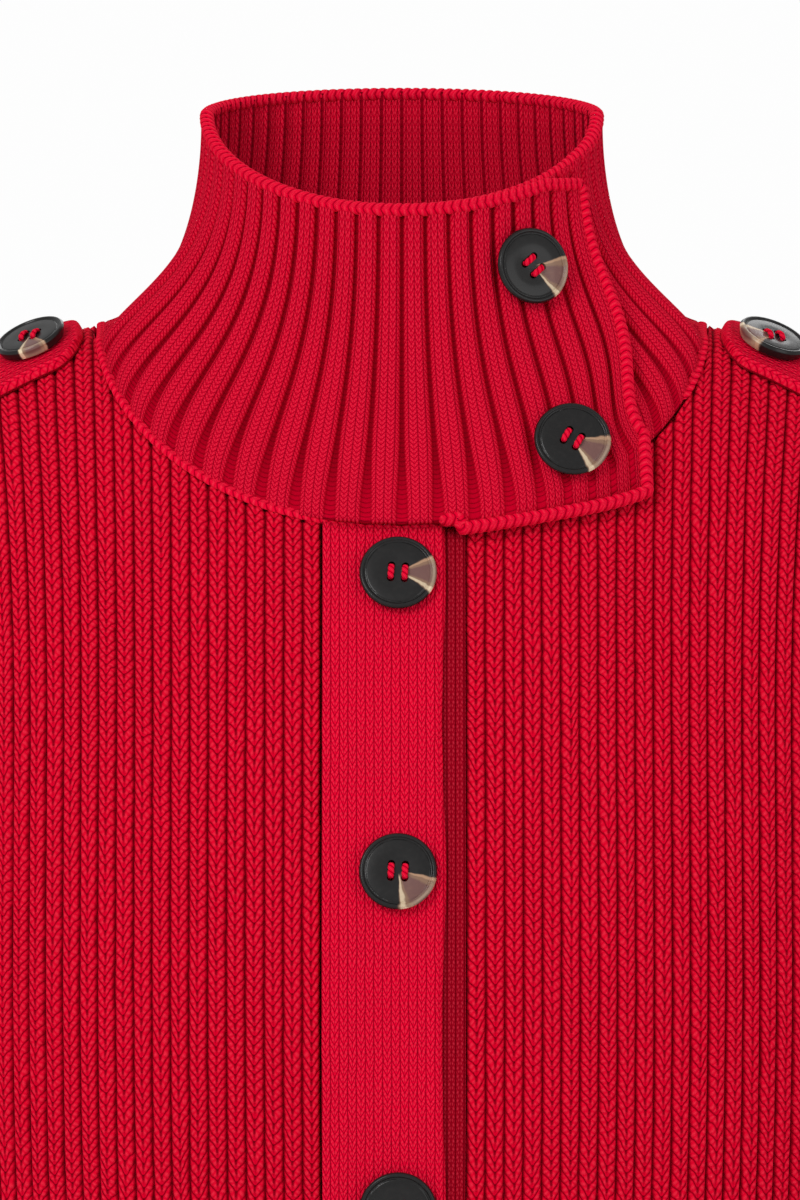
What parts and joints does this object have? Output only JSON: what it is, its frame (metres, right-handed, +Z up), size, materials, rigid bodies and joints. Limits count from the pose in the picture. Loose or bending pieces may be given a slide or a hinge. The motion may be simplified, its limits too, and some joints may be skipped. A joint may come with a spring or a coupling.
{
  "type": "button-front cardigan",
  "caption": "Chunky rib-knit cardigan worn closed: button band, funnel collar with a lapped buttoned tab, buttoned shoulder straps and long sleeves, as a hollow worn form.",
  "frame": {"origin": "midway between the two points where the neck meets the shoulders, where the wearer carries it", "axes": "+Z up as worn, the front faces -Y, the wearer's left is +X"},
  "size_m": [0.7242, 0.2392, 0.7294],
  "materials": {
    "rib_knit": "chunky rib knit in thick plied yarn, matt with a slight fuzz",
    "band_knit": "fine plain knit, matt",
    "button_horn": "satin black with a translucent tan and brown streak"
  },
  "bodies": {
    "root": {"back": "rib_knit", "front_left": "rib_knit", "front_right": "rib_knit", "button_band": "band_knit", "under_band": "band_knit", "collar": "rib_knit", "sleeve_left": "rib_knit", "sleeve_right": "rib_knit", "epaulette_left": "band_knit", "epaulette_right": "band_knit", "button_band_1": "button_horn", "button_band_2": "button_horn", "button_band_3": "button_horn", "button_band_4": "button_horn", "button_band_5": "button_horn", "button_collar_1": "button_horn", "button_collar_2": "button_horn", "button_epaulette_left": "button_horn", "button_epaulette_right": "button_horn"}
  },
  "joints": []
}
